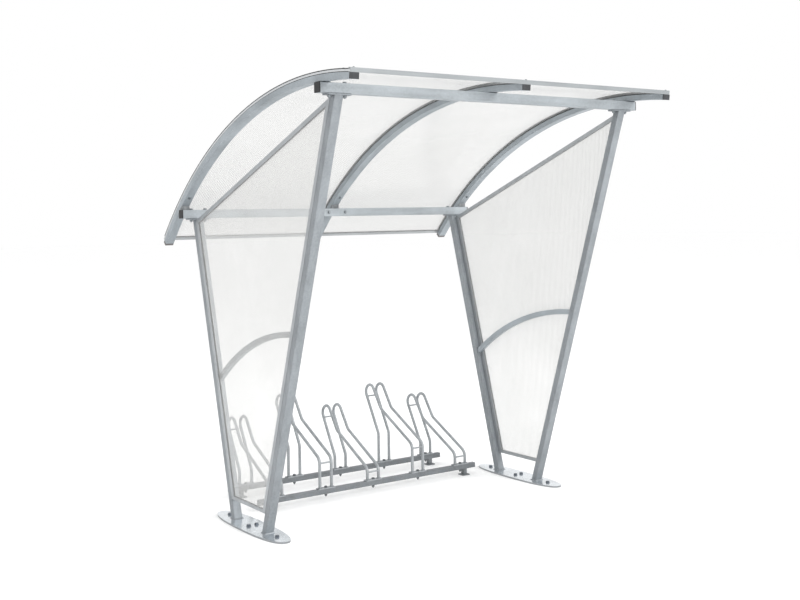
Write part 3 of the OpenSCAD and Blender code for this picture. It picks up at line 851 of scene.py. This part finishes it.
class SHELTER_OT_stage(bpy.types.Operator):
    """Floor, lights, sky and camera"""

    bl_idname = "shelter.stage"
    bl_label = "Studio stage"

    # The camera's place in metres, its turns in degrees and its lens in millimetres
    EYE = (-3.7315, -5.2750, 1.6839)
    YAW, PITCH, ROLL = 55.080, 0.439, -0.842
    LENS = 50.256
    SHIFT_Y = -0.1190

    def execute(self, context):
        scene = context.scene
        scene.view_settings.view_transform = "Standard"
        self.floor(scene)
        self.sky(scene)
        self.lights()
        self.camera(scene)
        return {"FINISHED"}

    def floor(self, scene):
        """Large matt floor with a barely visible tooth."""
        obj = start_piece(bpy.ops.mesh.primitive_plane_add, size=120)
        bpy.ops.mesh.subdivide(number_cuts=3)
        end_piece(obj, "studio_floor")
        material, tree, shader, coords = new_material("matt_studio_floor")
        tooth = add_node(tree, "ShaderNodeTexNoise", {
            "Vector": coords, "Scale": per_metre(16.67), "Detail": 3.0}).outputs["Fac"]
        bump = add_node(tree, "ShaderNodeBump", {
            "Height": tooth, "Strength": 0.05, "Distance": 1 * MM}).outputs[0]
        tree.links.new(bump, shader.inputs["Normal"])
        shader.inputs["Base Color"].default_value = linear(scene.shelter_colours.floor)
        shader.inputs["Roughness"].default_value = 0.9
        shader.inputs["Specular IOR Level"].default_value = 0.1
        finish(obj, material)

    def sky(self, scene):
        """Even white light from all round."""
        world = bpy.data.worlds.new("studio")
        scene.world = world
        world.use_nodes = True
        background = world.node_tree.nodes["Background"]
        background.inputs["Color"].default_value = (1.0, 1.0, 1.0, 1.0)
        background.inputs["Strength"].default_value = 1.0

    def lights(self):
        """A large soft key light and a weaker one above: place, width and watts."""
        for name, place, size, power in (
                ("key", (3.2, -8.0, 6.0), 5.0, 520.0),
                ("top", (-1.0, 1.0, 8.0), 6.0, 120.0)):
            bpy.ops.object.light_add(type="AREA", location=place)
            light = bpy.context.object
            light.name = name
            light.data.size = size
            light.data.energy = power
            aim = Vector((0, 0, 1.0)) - Vector(place)
            light.rotation_euler = aim.to_track_quat("-Z", "Y").to_euler()

    def camera(self, scene):
        """Eye-level camera in front of the left end."""
        yaw, pitch, roll = (math.radians(a) for a in (self.YAW, self.PITCH, self.ROLL))
        forward = Vector((math.cos(yaw) * math.cos(pitch), math.sin(yaw) * math.cos(pitch),
                          math.sin(pitch)))
        flat_right = Vector((math.sin(yaw), -math.cos(yaw), 0))
        flat_up = flat_right.cross(forward)
        right = math.cos(roll) * flat_right + math.sin(roll) * flat_up
        up = -math.sin(roll) * flat_right + math.cos(roll) * flat_up
        bpy.ops.object.camera_add()
        camera = bpy.context.object
        axes = Matrix((right, up, -forward)).transposed().to_4x4()
        camera.matrix_world = Matrix.Translation(Vector(self.EYE)) @ axes
        camera.data.sensor_width = 36
        camera.data.lens = self.LENS
        camera.data.shift_y = self.SHIFT_Y
        camera.data.clip_end = 200
        scene.camera = camera


class SHELTER_PT_panel(bpy.types.Panel):
    """Buttons for each group of pieces"""

    bl_label = "Bike shelter"
    bl_idname = "SHELTER_PT_panel"
    bl_space_type = "VIEW_3D"
    bl_region_type = "UI"
    bl_category = "Shelter"

    def draw(self, context):
        for group in (context.scene.shelter_sizes, context.scene.shelter_colours):
            for name in group.__annotations__:
                self.layout.prop(group, name)
        for step in STEPS:
            self.layout.operator(step.bl_idname)


STEPS = (
    SHELTER_OT_stage, SHELTER_OT_frame_finishes, SHELTER_OT_frame_bolts,
    SHELTER_OT_anchor_bolts, SHELTER_OT_arch_bolts, SHELTER_OT_roof_screws,
    SHELTER_OT_rack_bolts, SHELTER_OT_welds)
CLASSES = (ShelterSizes, ShelterColours) + STEPS + (SHELTER_PT_panel,)


def register():
    """Makes the classes and the scene's two groups of settings known to Blender."""
    for cls in CLASSES:
        bpy.utils.register_class(cls)
    bpy.types.Scene.shelter_sizes = PointerProperty(type=ShelterSizes)
    bpy.types.Scene.shelter_colours = PointerProperty(type=ShelterColours)


def unregister():
    """Takes back what register made."""
    del bpy.types.Scene.shelter_colours
    del bpy.types.Scene.shelter_sizes
    for cls in reversed(CLASSES):
        bpy.utils.unregister_class(cls)


def main():
    """Runs every step in order."""
    register()
    for step in STEPS:
        group, name = step.bl_idname.split(".")
        getattr(getattr(bpy.ops, group), name)()


if __name__ == "__main__":
    main()
